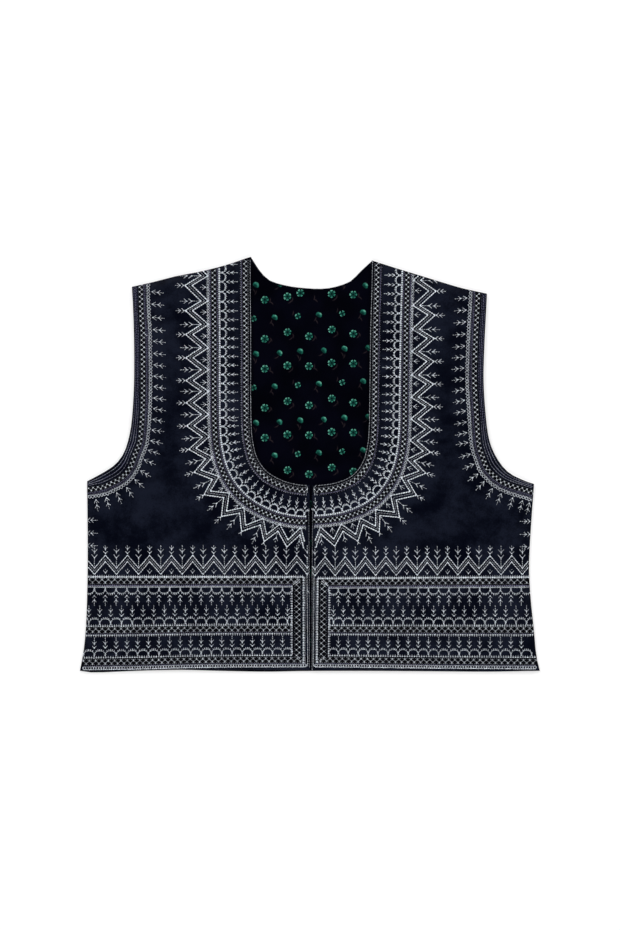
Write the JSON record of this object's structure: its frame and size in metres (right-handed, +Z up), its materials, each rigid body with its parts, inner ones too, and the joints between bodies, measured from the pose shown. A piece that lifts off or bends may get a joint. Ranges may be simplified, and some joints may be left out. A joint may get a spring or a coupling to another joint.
{
  "type": "embroidered folk vest",
  "caption": "Cropped sleeveless folk vest laid flat, satin fronts with banded thread embroidery, deep U neck and printed floral lining.",
  "frame": {"origin": "centre of the outline on the surface that the vest lies on", "axes": "+X across the vest to the viewer's right when it is seen from above with the shoulders at the top, +Y from the hem to the shoulders, +Z up out of the front"},
  "size_m": [0.4966, 0.4489, 0.0057],
  "materials": {
    "satin": "black navy satin weave with a soft sheen",
    "lining": "matt black cotton printed with small green flowers and buds on faint brown stems",
    "band": "black tape stitched all over with a lattice and fine lines",
    "thread_light": "off-white embroidery thread with a slight shine",
    "thread_grey": "fine purple-grey embroidery thread"
  },
  "bodies": {
    "root": {"back": "satin", "back_lining": "lining", "front_left": "satin", "front_right": "satin", "neck_band_left": "band", "neck_band_right": "band"}
  },
  "joints": []
}
